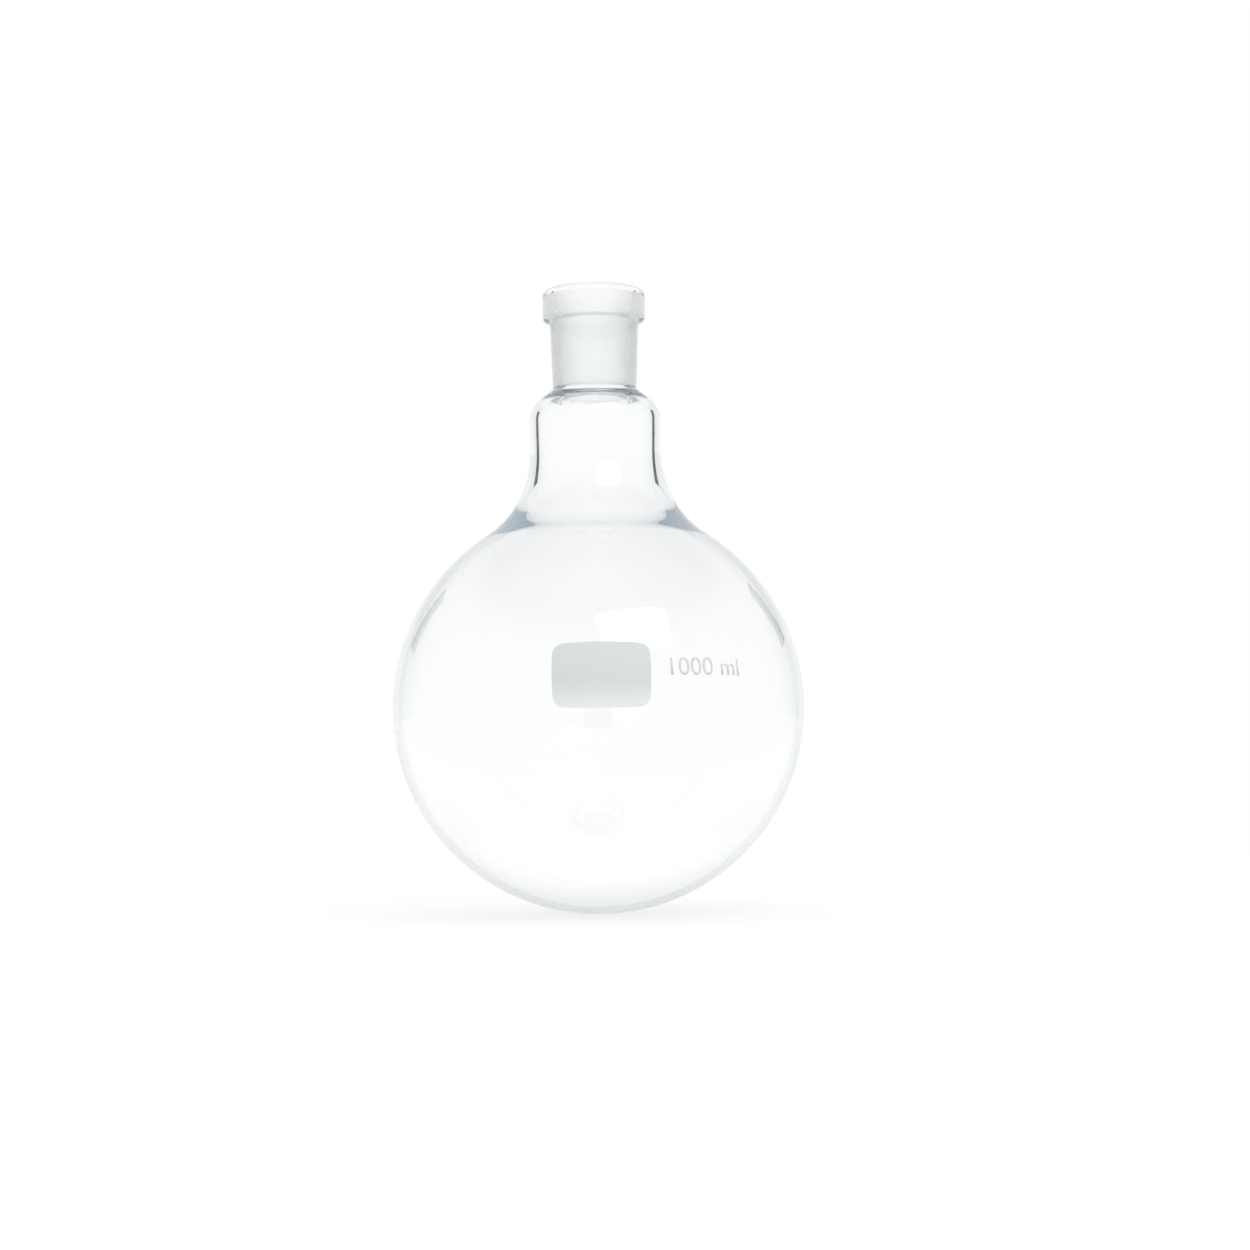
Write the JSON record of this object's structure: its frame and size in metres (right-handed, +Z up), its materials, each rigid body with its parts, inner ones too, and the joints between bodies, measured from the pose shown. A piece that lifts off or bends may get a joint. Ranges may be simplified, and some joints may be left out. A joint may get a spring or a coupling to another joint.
{
  "type": "round bottom flask",
  "caption": "Blown glass boiling flask: round bulb, short neck and a conical ground socket with a beaded mouth, held upright by its neck.",
  "frame": {"origin": "lowest point of the bulb, on the flask's axis", "axes": "+Z up along the flask's axis, from the bulb to the mouth; -Y out through the middle of the writing field; +X to the right of the field as it is read"},
  "size_m": [0.131, 0.1312, 0.2],
  "materials": {
    "borosilicate_glass": "clear and fire-polished, with a frosted ground cone inside the socket",
    "white_enamel": "matt fired enamel that takes pencil"
  },
  "bodies": {
    "root": {"flask": "borosilicate_glass", "writing_field": "white_enamel"}
  },
  "joints": []
}
